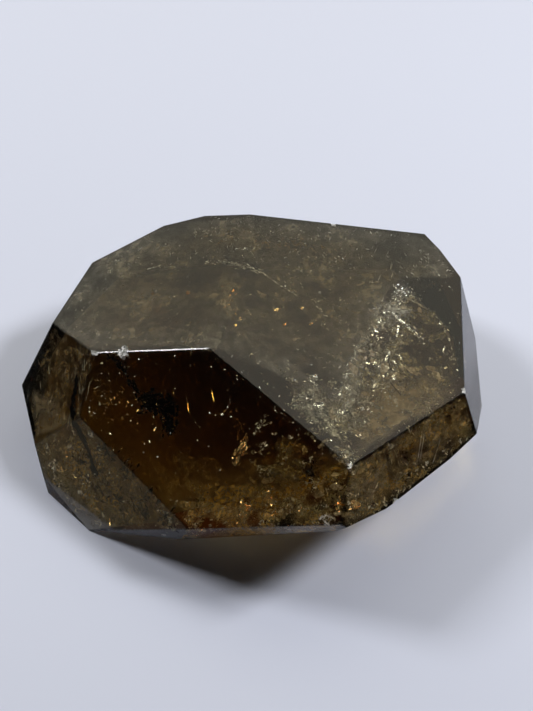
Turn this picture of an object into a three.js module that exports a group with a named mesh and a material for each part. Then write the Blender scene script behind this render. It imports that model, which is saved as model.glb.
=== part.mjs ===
// A polished smoky quartz: one free-form stone, ground flat on every side and polished.
//
// Millimetres, +Z up. The origin is the middle of the stone's outline on the surface that it
// rests on. +X runs along its length, toward the tall blunt end, and -Y is the side with the big
// sloping front facet.
//
// A lapidary grinds such a stone by holding it to a flat lap again and again, so the stone is
// exactly what is left of the rough after one flat cut per facet. It is built in the same way
// here: each facet is one plane, and the corners and edges are where those planes meet.
import * as THREE from 'three';

// ---------------------------------------------------------------- driving dimensions

// The cutting list. For each facet:
//   tilt    angle between its outward direction and straight up, in degrees
//   facing  direction that it looks toward, in degrees from +X toward +Y
//   reach   distance of its plane from the origin, in millimetres
const CUTS = [
  // The top: two broad, nearly level facets that meet in a soft ridge.
  { facet: 'top left', tilt: 17.6, facing: 164.0, reach: 29.6 },
  { facet: 'top right', tilt: 7.8, facing: 359.4, reach: 28.4 },

  // The slopes around the top.
  { facet: 'front', tilt: 38.2, facing: 235.4, reach: 28.2 },
  { facet: 'front right', tilt: 52.0, facing: 313.8, reach: 40.7 },
  { facet: 'right', tilt: 65.2, facing: 355.8, reach: 44.8 },
  { facet: 'left', tilt: 47.6, facing: 208.6, reach: 33.7 },
  { facet: 'front left', tilt: 56.6, facing: 230.4, reach: 31.3 },
  { facet: 'front left bevel', tilt: 68.8, facing: 227.4, reach: 35.2 },

  // The narrow steep faces of the rim at the front and the left.
  { facet: 'front rim', tilt: 97.0, facing: 264.2, reach: 29.8 },
  { facet: 'front left rim', tilt: 93.2, facing: 254.8, reach: 31.4 },
  { facet: 'left rim', tilt: 93.6, facing: 196.4, reach: 40.4 },

  // The upper facets of the back, from left to right.
  { facet: 'back left', tilt: 71.0, facing: 158.6, reach: 41.4 },
  { facet: 'back, left of middle', tilt: 71.0, facing: 120.0, reach: 39.9 },
  { facet: 'back, middle', tilt: 63.0, facing: 101.4, reach: 39.5 },
  { facet: 'back', tilt: 61.2, facing: 85.0, reach: 38.0 },
  { facet: 'back right corner', tilt: 72.0, facing: 33.6, reach: 48.7 },
  { facet: 'back right', tilt: 97.2, facing: 27.6, reach: 40.1 },

  // The underside, from the left end round the front to the back: facets that lean in to the
  // base, so the right end and the front overhang.
  { facet: 'under the left', tilt: 125.0, facing: 164.0, reach: 29.1 },
  { facet: 'under the front', tilt: 143.8, facing: 283.0, reach: 10.4 },
  { facet: 'under the front rim', tilt: 125.0, facing: 278.4, reach: 19.1 },
  { facet: 'under the front corner', tilt: 117.4, facing: 296.8, reach: 24.8 },
  { facet: 'under the front right', tilt: 130.6, facing: 308.6, reach: 17.3 },
  { facet: 'under the right corner', tilt: 128.6, facing: 315.4, reach: 19.8 },
  { facet: 'right corner bevel', tilt: 121.8, facing: 327.0, reach: 26.5 },
  { facet: 'under the right', tilt: 107.0, facing: 2.0, reach: 37.2 },
  { facet: 'under the back right', tilt: 105.0, facing: 33.0, reach: 37.5 },
  { facet: 'under the back', tilt: 112.0, facing: 93.0, reach: 25.4 },
  { facet: 'under the back left', tilt: 108.0, facing: 143.0, reach: 33.1 },

  // The base: the one flat facet that the stone rests on.
  { facet: 'base', tilt: 180.0, facing: 0.0, reach: 0.0 },
];

// A point this near to a plane is on it, and two corners this near to each other are one.
const ON_PLANE = 1e-6;
// Three planes whose normals span less than this are too nearly parallel to make a corner.
const LEAST_SPAN = 1e-6;

const SMOKY_BROWN = 0x3a2a1c;
const POLISH_ROUGHNESS = 0.04;

// ---------------------------------------------------------------- cutting the stone

// The plane of one cut. Its normal points out of the stone.
function planeOfCut({ tilt, facing, reach }) {
  const outward = new THREE.Vector3().setFromSphericalCoords(
    1,
    THREE.MathUtils.degToRad(tilt),
    THREE.MathUtils.degToRad(facing),
  );
  // Spherical coordinates in three.js have +Y up and turn from +Z toward +X.
  const normal = new THREE.Vector3(outward.z, outward.x, outward.y);
  return new THREE.Plane(normal, -reach);
}

// The point that three planes share, or null where they are too nearly parallel.
function meetingPoint(a, b, c) {
  const bc = new THREE.Vector3().crossVectors(b.normal, c.normal);
  const ca = new THREE.Vector3().crossVectors(c.normal, a.normal);
  const ab = new THREE.Vector3().crossVectors(a.normal, b.normal);
  const span = a.normal.dot(bc);
  if (Math.abs(span) < LEAST_SPAN) return null;
  return bc.multiplyScalar(-a.constant)
    .addScaledVector(ca, -b.constant)
    .addScaledVector(ab, -c.constant)
    .divideScalar(span);
}

// Every corner of the stone: a meeting point of three planes that no cut has taken away.
// Each corner lists the facets that it belongs to.
function findCorners(planes) {
  const corners = [];
  const isLeft = (point) => planes.every((plane) => plane.distanceToPoint(point) < ON_PLANE);
  for (let i = 0; i < planes.length; i += 1) {
    for (let j = i + 1; j < planes.length; j += 1) {
      for (let k = j + 1; k < planes.length; k += 1) {
        const point = meetingPoint(planes[i], planes[j], planes[k]);
        if (point === null || !isLeft(point)) continue;
        const near = (corner) => corner.point.distanceTo(point) < ON_PLANE;
        const known = corners.find(near);
        if (known) [i, j, k].forEach((facet) => known.facets.add(facet));
        else corners.push({ point, facets: new Set([i, j, k]) });
      }
    }
  }
  return corners;
}

// The corner numbers of one facet, in order around it, counter-clockwise seen from outside.
function facetOutline(facet, plane, corners) {
  const own = [...corners.keys()].filter((number) => corners[number].facets.has(facet));
  const middle = new THREE.Vector3();
  own.forEach((number) => middle.add(corners[number].point));
  middle.divideScalar(own.length);
  const across = corners[own[0]].point.clone().sub(middle).projectOnPlane(plane.normal).normalize();
  const along = new THREE.Vector3().crossVectors(plane.normal, across);
  const angle = (number) => {
    const spoke = corners[number].point.clone().sub(middle);
    return Math.atan2(spoke.dot(along), spoke.dot(across));
  };
  return own.sort((a, b) => angle(a) - angle(b));
}

// One closed surface: each facet is a fan of triangles, and neighbours share their corners.
function stoneGeometry(cuts) {
  const planes = cuts.map(planeOfCut);
  const corners = findCorners(planes);
  const triangles = [];
  planes.forEach((plane, facet) => {
    const outline = facetOutline(facet, plane, corners);
    for (let n = 1; n < outline.length - 1; n += 1) {
      triangles.push(outline[0], outline[n], outline[n + 1]);
    }
  });
  const geometry = new THREE.BufferGeometry();
  const positions = corners.flatMap((corner) => corner.point.toArray());
  geometry.setAttribute('position', new THREE.Float32BufferAttribute(positions, 3));
  geometry.setIndex(triangles);
  geometry.computeVertexNormals();
  return geometry;
}

// ---------------------------------------------------------------- the object

const smokyQuartz = new THREE.Mesh(
  stoneGeometry(CUTS),
  new THREE.MeshStandardMaterial({
    color: SMOKY_BROWN,
    roughness: POLISH_ROUGHNESS,
    metalness: 0,
    flatShading: true,
  }),
);
smokyQuartz.name = 'smoky_quartz';

const stone = new THREE.Group();
stone.add(smokyQuartz);

export default stone;
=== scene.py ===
# %% [markdown]
# # A polished smoky quartz
#
# Smoky quartz is a clear crystal that natural radiation has turned brown. This one was ground
# flat on every side and polished, so it is a window with many panes: what it looks like comes
# from the sharp planes outside, the brown colour that deepens with every millimetre the light
# travels, and the cracks, needles and flecks that the crystal closed over while it grew.
#
# The lesson goes from the outside in: camera, floor and light, then the clear stone, then its
# edges and chips, then everything that is sealed inside.
#
# The plain solid with its 29 facets is there already. It is loaded first and measured, because
# the dressed stone has to end up in the same box.

# %% The plain solid
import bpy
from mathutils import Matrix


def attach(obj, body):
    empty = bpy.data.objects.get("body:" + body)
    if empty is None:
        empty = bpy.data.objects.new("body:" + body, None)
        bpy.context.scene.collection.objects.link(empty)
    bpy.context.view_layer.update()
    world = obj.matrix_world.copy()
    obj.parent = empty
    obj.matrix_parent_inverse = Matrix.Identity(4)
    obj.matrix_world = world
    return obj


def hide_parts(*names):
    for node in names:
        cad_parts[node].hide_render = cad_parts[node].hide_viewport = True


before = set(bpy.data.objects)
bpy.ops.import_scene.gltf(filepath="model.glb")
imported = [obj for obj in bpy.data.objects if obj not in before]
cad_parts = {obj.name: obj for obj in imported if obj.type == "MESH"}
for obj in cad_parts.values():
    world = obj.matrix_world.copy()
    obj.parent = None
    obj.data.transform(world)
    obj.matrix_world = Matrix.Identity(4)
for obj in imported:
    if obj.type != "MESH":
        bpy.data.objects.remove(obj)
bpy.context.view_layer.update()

# %% [markdown]
# Blender's own modules do the rest: `bmesh` for cutting, `mathutils` for vectors and noise. All
# places below are thought of in millimetres, and `MM` turns them into Blender's metres.

# %% Modules
import math
import random

import bmesh
import bpy
from mathutils import Euler, Vector, noise

MM = 0.001
scene = bpy.context.scene
print("one millimetre is", MM, "metres")


# %% [markdown]
# ## Camera
# A stone on a table is looked at from above and a little in front. A long lens from about 20 cm
# keeps the facet edges straight and nearly parallel, as a close-up lens does. The sensor is set
# square so that the lens means the same thing in an upright frame as in a wide one.

# %% Camera
SENSOR = 36.0
FRAME_HEIGHT = 711.0
FOCAL_IN_FRAME_PIXELS = 1068.0
CAMERA_PLACE = Vector((3.43, -116.90, 174.83)) * MM
CAMERA_TURN = Euler((math.radians(37.16), math.radians(-0.23), math.radians(0.30)))

camera_data = bpy.data.cameras.new("camera")
camera_data.sensor_width = SENSOR
camera_data.sensor_height = SENSOR
camera_data.lens = FOCAL_IN_FRAME_PIXELS * SENSOR / FRAME_HEIGHT
camera_data.clip_start = 1 * MM
camera = bpy.data.objects.new("camera", camera_data)
camera.location = CAMERA_PLACE
camera.rotation_euler = CAMERA_TURN
scene.collection.objects.link(camera)
scene.camera = camera
print("lens", round(camera_data.lens, 1), "mm")


# %% [markdown]
# ## Two small helpers
# Every object here is a mesh made in code, and every material is a Principled shader whose
# settings are filled in by name. Both jobs come up many times, so each gets a function.

# %% Helpers
def add_object(name, mesh):
    thing = bpy.data.objects.new(name, mesh)
    scene.collection.objects.link(thing)
    return thing


def principled(name, **settings):
    """A material with one Principled shader. A setting is a socket's name with _ for each space."""
    material = bpy.data.materials.new(name)
    material.use_nodes = True
    shader = material.node_tree.nodes["Principled BSDF"]
    for setting, value in settings.items():
        shader.inputs[setting.replace("_", " ")].default_value = value
    return material, material.node_tree, shader


# %% [markdown]
# ## Floor
# The stone lies on a plain pale surface. It is a hair below the base facet, because polished
# quartz never touches a table all over: the thin film of air is what makes the base act as a
# mirror from inside.

# %% Floor
FLOOR_HALF_WIDTH = 450 * MM
AIR_UNDER_STONE = 0.04 * MM

corners = [(-1, -1), (1, -1), (1, 1), (-1, 1)]
floor_mesh = bpy.data.meshes.new("floor")
floor_mesh.from_pydata(
    [(x * FLOOR_HALF_WIDTH, y * FLOOR_HALF_WIDTH, -AIR_UNDER_STONE) for x, y in corners],
    [], [(0, 1, 2, 3)])
pale_floor = principled(
    "pale_floor", Base_Color=(0.72, 0.755, 0.89, 1), Roughness=0.6, Specular_IOR_Level=0.3)[0]
floor_mesh.materials.append(pale_floor)
floor = add_object("floor", floor_mesh)
print("the floor is", round(AIR_UNDER_STONE / MM, 2), "mm below the stone")


# %% [markdown]
# ## Dim card
# Seen from above, the lowest facets at the left end mirror the table beside the stone. A low dim
# card stands there on edge, which keeps that mirror image faint and even. It is there for the
# mirror images alone, so it casts no shadow and the camera doesn't see it.

# %% Dim card
CARD_MIDDLE = Vector((-58, -34, 8)) * MM
CARD_LENGTH, CARD_HEIGHT = 64 * MM, 16 * MM
CARD_FACING = 32.0
CARD_GLOW = (0.24, 0.22, 0.165, 1)

card_mesh = bpy.data.meshes.new("dim_card")
card_mesh.from_pydata(
    [(0, y * CARD_LENGTH / 2, z * CARD_HEIGHT / 2) for y, z in corners], [], [(0, 1, 2, 3)])
card_surface = principled(
    "dim_card", Base_Color=(0.01, 0.01, 0.01, 1), Roughness=0.9, Specular_IOR_Level=0.1,
    Emission_Color=CARD_GLOW, Emission_Strength=1.0)[0]
card_mesh.materials.append(card_surface)
card = add_object("dim_card", card_mesh)
card.location = CARD_MIDDLE
card.rotation_euler = (0, 0, math.radians(CARD_FACING))
card.visible_camera = False
card.visible_diffuse = False
card.visible_transmission = False
card.visible_shadow = False
print("the card is", round(CARD_HEIGHT / MM), "mm high")


# %% [markdown]
# ## Light
# Two lamps stand left and right, a little behind the stone, and throw its two crossing shadows
# forward. Two panels behind it are there to be seen in the top facets: a polished plane only
# looks polished when it mirrors something. The rest of the room is dark, which keeps the front
# facets deep, so that the eye looks through them and into the brown.
#
# A direction is easier to think in than a place, so each light is given by the compass angle and
# the height angle at which the stone sees it.

# %% Light
def toward(facing, height):
    """The direction with this compass angle (from +X toward +Y) and this height angle."""
    level = math.cos(math.radians(height))
    return Vector((
        level * math.cos(math.radians(facing)),
        level * math.sin(math.radians(facing)),
        math.sin(math.radians(height))))


def add_light(name, direction, distance, width, tall, radiance, colour=(1, 1, 1)):
    """A soft panel that looks at the stone. Its power follows from how bright it looks."""
    data = bpy.data.lights.new(name, "AREA")
    data.shape = "RECTANGLE"
    data.size = width
    data.size_y = tall
    data.energy = radiance * math.pi * width * tall
    data.color = colour
    lamp = bpy.data.objects.new(name, data)
    lamp.location = direction * distance
    lamp.rotation_euler = direction.to_track_quat("Z", "Y").to_euler()
    scene.collection.objects.link(lamp)


PANEL_LOW = toward(118, 25)
PANEL_HIGH = toward(72, 49)
LEFT_LAMP = toward(151, 46.5)
RIGHT_LAMP = toward(11.5, 45.3)
LIGHT_DISTANCE = 600 * MM
WARM = (1.0, 0.95, 0.78)

add_light("panel_low", PANEL_LOW, LIGHT_DISTANCE, 620 * MM, 300 * MM, 0.72, WARM)
add_light("panel_high", PANEL_HIGH, LIGHT_DISTANCE, 620 * MM, 360 * MM, 0.93, WARM)
add_light("left_lamp", LEFT_LAMP, LIGHT_DISTANCE, 140 * MM, 140 * MM, 24.0)
add_light("right_lamp", RIGHT_LAMP, LIGHT_DISTANCE, 120 * MM, 120 * MM, 48.0)
print("lights:", [light.name for light in bpy.data.lights])

# %% [markdown]
# The room itself is almost black in reflections and through the stone, but pale where the camera
# looks past the floor, as a studio backdrop is. The Light Path node tells the two apart.

# %% Room
room = bpy.data.worlds.new("room")
room.use_nodes = True
nodes, links = room.node_tree.nodes, room.node_tree.links
background = nodes["Background"]
seen_directly = nodes.new("ShaderNodeLightPath")
backdrop = nodes.new("ShaderNodeMix")
backdrop.data_type = "RGBA"
backdrop.inputs["A"].default_value = (0.012, 0.012, 0.012, 1)
backdrop.inputs["B"].default_value = (0.60, 0.62, 0.68, 1)
links.new(seen_directly.outputs["Is Camera Ray"], backdrop.inputs["Factor"])
links.new(backdrop.outputs["Result"], background.inputs["Color"])
scene.world = room
print("the world is", scene.world.name)

# %% [markdown]
# Light inside a faceted stone bounces from plane to plane many times before it finds a way out,
# and it passes through many thin veils, so both limits are raised. The light that the stone
# throws on the floor is a caustic, so caustics stay on.

# %% Light paths
scene.view_settings.view_transform = "Standard"
scene.cycles.max_bounces = 24
scene.cycles.transmission_bounces = 24
scene.cycles.glossy_bounces = 12
scene.cycles.diffuse_bounces = 6
scene.cycles.transparent_max_bounces = 48
scene.cycles.caustics_refractive = True
scene.cycles.caustics_reflective = True
scene.cycles.blur_glossy = 0.3
print("light may bounce", scene.cycles.max_bounces, "times")


# %% [markdown]
# ## Shared shader groups
# Three effects are used by more than one material, so each is a node group. A group is built
# once and placed in every material with its own values:
#
# - `lap_polish` gives the faint unevenness that a polishing lap leaves, as a roughness
# - `grain_tint` mixes two colours in small random patches, as flecks of one kind vary
# - `veil_density` makes thin patchy cover that fades out at the rim of a sheet

# %% Shader groups
def start_group(name, inputs, outputs):
    """An empty shader group with these sockets: (name, kind, value) in and (name, kind) out."""
    group = bpy.data.node_groups.new(name, "ShaderNodeTree")
    for title, kind, value in inputs:
        socket = group.interface.new_socket(title, in_out="INPUT", socket_type=kind)
        socket.default_value = value
    for title, kind in outputs:
        group.interface.new_socket(title, in_out="OUTPUT", socket_type=kind)
    return group, group.nodes.new("NodeGroupInput"), group.nodes.new("NodeGroupOutput")


def use_group(tree, group, **settings):
    node = tree.nodes.new("ShaderNodeGroup")
    node.node_tree = group
    for setting, value in settings.items():
        node.inputs[setting.replace("_", " ")].default_value = value
    return node


def set_or_link(group, socket, setting):
    """Gives a socket a plain number, or links it to the socket that knows the number."""
    if isinstance(setting, float):
        socket.default_value = setting
    else:
        group.links.new(setting, socket)


def add_noise(group, scale, **settings):
    """Noise that is fixed to the stone, as the socket with its value."""
    place = group.nodes.new("ShaderNodeTexCoord")
    texture = group.nodes.new("ShaderNodeTexNoise")
    group.links.new(place.outputs["Object"], texture.inputs["Vector"])
    group.links.new(scale, texture.inputs["Scale"])
    for setting, value in settings.items():
        texture.inputs[setting].default_value = value
    return texture.outputs["Fac"]


def add_remap(group, value, **ends):
    """Stretches a value from one range to another. An end is a number or a socket."""
    remap = group.nodes.new("ShaderNodeMapRange")
    group.links.new(value, remap.inputs["Value"])
    for end, setting in ends.items():
        set_or_link(group, remap.inputs[end.replace("_", " ")], setting)
    return remap.outputs["Result"]


def multiply(group, value, factor):
    product = group.nodes.new("ShaderNodeMath")
    product.operation = "MULTIPLY"
    group.links.new(value, product.inputs[0])
    set_or_link(group, product.inputs[1], factor)
    return product.outputs["Value"]


FLOAT, COLOUR = "NodeSocketFloat", "NodeSocketColor"
print("helpers for shader groups are ready")

# %% [markdown]
# A lap never polishes quite evenly. The polish could be one number, but then each mirror image
# is as sharp as the next and the stone looks like plastic. Here a broad noise picks between a
# best and a worst polish, and each material says what those are.

# %% Lap polish
lap_polish, entry, leave = start_group(
    "lap_polish",
    [("Scale", FLOAT, 120.0), ("Best", FLOAT, 0.0), ("Worst", FLOAT, 0.02)],
    [("Roughness", FLOAT)])
wear = add_noise(lap_polish, entry.outputs["Scale"], Detail=4.0)
roughness = add_remap(
    lap_polish, wear, From_Min=0.45, From_Max=0.75,
    To_Min=entry.outputs["Best"], To_Max=entry.outputs["Worst"])
lap_polish.links.new(roughness, leave.inputs["Roughness"])
print(lap_polish.name, "has", len(lap_polish.nodes), "nodes")

# %% [markdown]
# Flecks of one kind are never all the same colour. The tint goes from dull to bright in small
# patches, and the same noise comes out as a height, so that the bright places also stand out.

# %% Grain tint
grain_tint, entry, leave = start_group(
    "grain_tint",
    [("Scale", FLOAT, 900.0), ("Dull", COLOUR, (0.3, 0.3, 0.3, 1)), ("Bright", COLOUR, (1, 1, 1, 1))],
    [("Color", COLOUR), ("Height", FLOAT)])
grain = add_noise(grain_tint, entry.outputs["Scale"], Detail=3.0)
mix = grain_tint.nodes.new("ShaderNodeMix")
mix.data_type = "RGBA"
patches = add_remap(grain_tint, grain, From_Min=0.38, From_Max=0.62)
grain_tint.links.new(patches, mix.inputs["Factor"])
grain_tint.links.new(entry.outputs["Dull"], mix.inputs["A"])
grain_tint.links.new(entry.outputs["Bright"], mix.inputs["B"])
grain_tint.links.new(mix.outputs["Result"], leave.inputs["Color"])
grain_tint.links.new(grain, leave.inputs["Height"])
print(grain_tint.name, "has", len(grain_tint.nodes), "nodes")

# %% [markdown]
# A healed crack is a film of tiny bubbles: closed in some places, open in others, and lacy in
# between. A real film can't be modelled bubble by bubble, so its cover is worked out instead.
# Broad patches say where there is film at all (`Bare`, `Full`, `Cover`), a crackle six times
# finer makes it lacy (`Closed` is what the crackle leaves), and the sheet's own `cover`
# attribute fades it out at the rim.

# %% Veil density
CRACKLE_FINENESS = 6.0

veil_density, entry, leave = start_group(
    "veil_density",
    [("Scale", FLOAT, 500.0), ("Bare", FLOAT, 0.45), ("Full", FLOAT, 0.70), ("Cover", FLOAT, 0.5),
     ("Closed", FLOAT, 0.06)],
    [("Alpha", FLOAT)])
film = add_noise(veil_density, entry.outputs["Scale"], Detail=3.0)
patches = add_remap(
    veil_density, film, From_Min=entry.outputs["Bare"], From_Max=entry.outputs["Full"],
    To_Max=entry.outputs["Cover"])
finer = multiply(veil_density, entry.outputs["Scale"], CRACKLE_FINENESS)
lace = add_noise(veil_density, finer, Detail=5.0, Roughness=0.65, Distortion=0.8)
crackle = add_remap(
    veil_density, lace, From_Min=0.42, From_Max=0.60, To_Min=entry.outputs["Closed"])
rim_cover = veil_density.nodes.new("ShaderNodeAttribute")
rim_cover.attribute_name = "cover"
broken_up = multiply(veil_density, patches, crackle)
thinned = multiply(veil_density, broken_up, rim_cover.outputs["Fac"])
veil_density.links.new(thinned, leave.inputs["Alpha"])
print(veil_density.name, "has", len(veil_density.nodes), "nodes")

# %% [markdown]
# ## Materials of the stone
# The clear crystal is plain glass with the index of quartz. All its colour is in the volume: the
# light loses blue fastest, then green, then red, so a thin place is grey-brown, a thicker one
# amber, and a long way through is black. That is how the real colour works, and it is why the
# same stone is pale at its rim and dark in its middle.

# %% Clear quartz
QUARTZ_INDEX = 1.544
SMOKE_DENSITY = 165.0
SMOKE_COLOUR = (0.605, 0.465, 0.0, 1)


def fill_with_smoke(tree):
    """The brown of smoky quartz, taken up along the way through the stone."""
    smoke = tree.nodes.new("ShaderNodeVolumeAbsorption")
    smoke.inputs["Color"].default_value = SMOKE_COLOUR
    smoke.inputs["Density"].default_value = SMOKE_DENSITY
    tree.links.new(smoke.outputs["Volume"], tree.nodes["Material Output"].inputs["Volume"])


clear_quartz, tree, shader = principled(
    "clear_quartz", Base_Color=(1, 1, 1, 1), IOR=QUARTZ_INDEX, Transmission_Weight=1.0)
polish = use_group(tree, lap_polish, Scale=120.0, Best=0.0, Worst=0.01)
tree.links.new(polish.outputs["Roughness"], shader.inputs["Roughness"])
fill_with_smoke(tree)
print("clear quartz, index", QUARTZ_INDEX)

# %% [markdown]
# The flats on the edges keep a little of the grinding: they are the same quartz with a satin
# surface, so they spread the lamps into a line. A broken surface is rough enough to look white,
# so it has no transmission and only scatters. All three bound one body, so all three carry its
# brown, and the stone has one material slot for each.

# %% Worn edges and broken quartz
worn_edge, tree, shader = principled(
    "worn_edge", Base_Color=(1, 1, 1, 1), IOR=QUARTZ_INDEX, Transmission_Weight=1.0)
polish = use_group(tree, lap_polish, Scale=700.0, Best=0.12, Worst=0.28)
tree.links.new(polish.outputs["Roughness"], shader.inputs["Roughness"])
fill_with_smoke(tree)

broken_quartz, tree, shader = principled("broken_quartz", IOR=QUARTZ_INDEX, Roughness=0.5)
tint = use_group(
    tree, grain_tint, Scale=2500.0, Dull=(0.66, 0.65, 0.63, 1), Bright=(1.0, 1.0, 0.99, 1))
tree.links.new(tint.outputs["Color"], shader.inputs["Base Color"])
fill_with_smoke(tree)

QUARTZ_FINISHES = (clear_quartz, worn_edge, broken_quartz)
CLEAR, WORN, BROKEN = range(len(QUARTZ_FINISHES))
print("finishes of the stone:", [finish.name for finish in QUARTZ_FINISHES])

# %% [markdown]
# ## The facets
# The solid is convex, so each facet is a plane with the whole stone behind it. A point is inside
# when it is behind all of them. The planes are read once from the solid, and everything that is
# sealed in the stone is tested against them.

# %% Facets
SAME_DIRECTION = 0.9999
PULL_ROUNDS = 6
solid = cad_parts["smoky_quartz"]


def read_facets(mesh):
    """The facet planes as (outward direction, distance from the origin), each one once."""
    planes = []
    for polygon in mesh.polygons:
        reach = polygon.normal.dot(mesh.vertices[polygon.vertices[0]].co)
        if not any(normal.dot(polygon.normal) > SAME_DIRECTION for normal, _ in planes):
            planes.append((polygon.normal.copy(), reach))
    return planes


FACETS = read_facets(solid.data)
print(len(FACETS), "facets")


def pull_inside(point, depth):
    """The point itself, or the nearest place that lies at least this deep in the stone."""
    place = point.copy()
    for _ in range(PULL_ROUNDS):
        for normal, reach in FACETS:
            excess = normal.dot(place) - (reach - depth)
            if excess > 0:
                place -= normal * excess
    return place


# %% [markdown]
# ## The clear stone
# Real edges are never perfectly sharp: each one is taken off with a touch of the lap, so that it
# doesn't cut or crumble. That narrow flat is what catches a lamp as a bright line between two
# facets. At the left end the flats lean toward the upper facet, at the right end toward the
# lower one, because the stone was turned round on the lap.
#
# A flat is made as the real one is: one more cut, just under the edge. The stone is convex, so
# each cut is a plane that slices off whatever is outside it. The ridge between the two broad top
# facets was polished with them, and has no flat.

# %% Flats on the edges
EDGE_FLAT = 0.21 * MM
LEFT_LEAN, RIGHT_LEAN = 0.385, 0.62
NEARLY_LEVEL = 0.9


def flats_for(work):
    """The plane of each edge's flat, as a place and a direction. EDGE_FLAT is its width."""
    flats = []
    for edge in work.edges:
        upper, lower = sorted(edge.link_faces, key=lambda face: -face.normal.z)
        if lower.normal.z > NEARLY_LEVEL:
            continue
        middle = (edge.verts[0].co + edge.verts[1].co) / 2
        lean = LEFT_LEAN if middle.x < 0 else RIGHT_LEAN
        turn = upper.normal.angle(lower.normal)
        spread = 1 / math.tan(turn * lean) + 1 / math.tan(turn * (1 - lean))
        direction = upper.normal.slerp(lower.normal, lean)
        flats.append((middle - direction * EDGE_FLAT / spread, direction))
    return flats


# %% [markdown]
# The plain solid comes as triangles. Corners that meet are joined first and triangles that lie
# in one plane become one facet, so that every edge that is left is a real one. The rim of each
# cut is filled with a face, and that face is the flat. If every edge has two faces at the end,
# the stone is closed, which clear glass needs.

# %% Stone
SAME_PLACE = 0.001 * MM
SAME_FACET = math.radians(0.5)
CUT_TOLERANCE = 1e-8

stone_mesh = solid.data.copy()
stone_mesh.name = "polished_quartz"
stone_mesh.materials.clear()
work = bmesh.new()
work.from_mesh(stone_mesh)
bmesh.ops.remove_doubles(work, verts=work.verts, dist=SAME_PLACE)
bmesh.ops.dissolve_limit(work, angle_limit=SAME_FACET, verts=work.verts, edges=work.edges)
for face in work.faces:
    face.material_index = CLEAR
    face.smooth = False
for place, direction in flats_for(work):
    everything = work.verts[:] + work.edges[:] + work.faces[:]
    sliced = bmesh.ops.bisect_plane(
        work, geom=everything, dist=CUT_TOLERANCE, plane_co=place, plane_no=direction,
        clear_outer=True)
    rim = [part for part in sliced["geom_cut"] if isinstance(part, bmesh.types.BMEdge)]
    bmesh.ops.edgeloop_fill(work, edges=rim, mat_nr=WORN)
open_edges = sum(1 for edge in work.edges if len(edge.link_faces) != 2)
work.to_mesh(stone_mesh)
work.free()
for finish in QUARTZ_FINISHES:
    stone_mesh.materials.append(finish)
stone = add_object("polished_quartz", stone_mesh)
print(len(stone_mesh.polygons), "faces with flats on the edges,", open_edges, "open edges")

# %% [markdown]
# ## Chips
# Quartz has no cleavage. Where it is knocked, it breaks in small shell-shaped scoops with a
# crumbly, frosted floor. Each chip is a lumpy ball, centred just outside an edge, cut out of
# the stone. The faces that the cut leaves take the third material slot.

# %% Chips
# Where each chip is (mm), and the radius of its scoop (mm).
CHIPS = {
    "top_edge_large": ((-22.1, -2.1, 25.2), 1.55),
    "top_edge_small": ((-27.6, -1.3, 23.0), 0.75),
    "front_corner": ((17.1, -26.8, 26.6), 0.78),
    "back_edge": ((16.2, 27.4, 26.5), 0.60),
    "right_edge_upper": ((39.3, 0.2, 23.4), 0.50),
    "right_edge_lower": ((38.9, -5.2, 23.5), 0.45),
    "right_corner": ((38.0, -9.6, 23.6), 0.65),
    "front_rim": ((11.3, -34.0, 20.6), 1.00),
    "front_rim_left": ((-14.4, -29.6, 6.6), 0.70),
    "right_rim": ((25.3, -28.2, 17.6), 0.60),
}
CHIP_LUMPS = 0.55
LUMP_FINENESS, CRUMB_FINENESS = 1.6, 3.5


def lumpy_ball(centre, radius, seed):
    """A ball with round lumps and small steps, as a shell-shaped break has."""
    ball = bmesh.new()
    bmesh.ops.create_icosphere(ball, subdivisions=4, radius=1.0)
    for corner in ball.verts:
        bump = noise.noise(corner.co * LUMP_FINENESS + Vector((seed, 0, 0)))
        crumble = noise.cell(corner.co * CRUMB_FINENESS + Vector((0, seed, 0)))
        corner.co *= radius * (1 + CHIP_LUMPS * bump + 0.5 * CHIP_LUMPS * (crumble - 0.5))
        corner.co += centre
    for face in ball.faces:
        face.material_index = BROKEN
    mesh = bpy.data.meshes.new("scoop")
    ball.to_mesh(mesh)
    ball.free()
    return mesh


# %% [markdown]
# Each ball gets its own seed, so no two chips look alike, and the same three finishes as the
# stone, so that the cut can hand its broken surface over. The cuts are set up as modifiers.

# %% Scoops
SEED_STEP = 7.3
scoops = []
for number, (place, radius) in enumerate(CHIPS.values()):
    scoop = add_object("scoop", lumpy_ball(Vector(place) * MM, radius * MM, SEED_STEP * number))
    for finish in QUARTZ_FINISHES:
        scoop.data.materials.append(finish)
    cut = stone.modifiers.new("chip", "BOOLEAN")
    cut.operation = "DIFFERENCE"
    cut.solver = "EXACT"
    cut.object = scoop
    cut.material_mode = "INDEX"
    scoops.append(scoop)
print(len(scoops), "scoops stand ready")

# %% [markdown]
# The cuts are made for good, and the scoops go. What is left is one closed mesh. It rides on the
# stone's body and takes the place of the plain solid.

# %% Chipped stone
evaluated = stone.evaluated_get(bpy.context.evaluated_depsgraph_get())
chipped_mesh = bpy.data.meshes.new_from_object(evaluated)
chipped_mesh.name = "polished_quartz"
stone.modifiers.clear()
stone.data = chipped_mesh
for scoop in scoops:
    bpy.data.objects.remove(scoop)
broken_faces = sum(1 for face in chipped_mesh.polygons if face.material_index == BROKEN)
print(len(chipped_mesh.polygons), "faces with chips,", broken_faces, "of them broken surface")
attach(stone, "root")
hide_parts("smoky_quartz")
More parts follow.
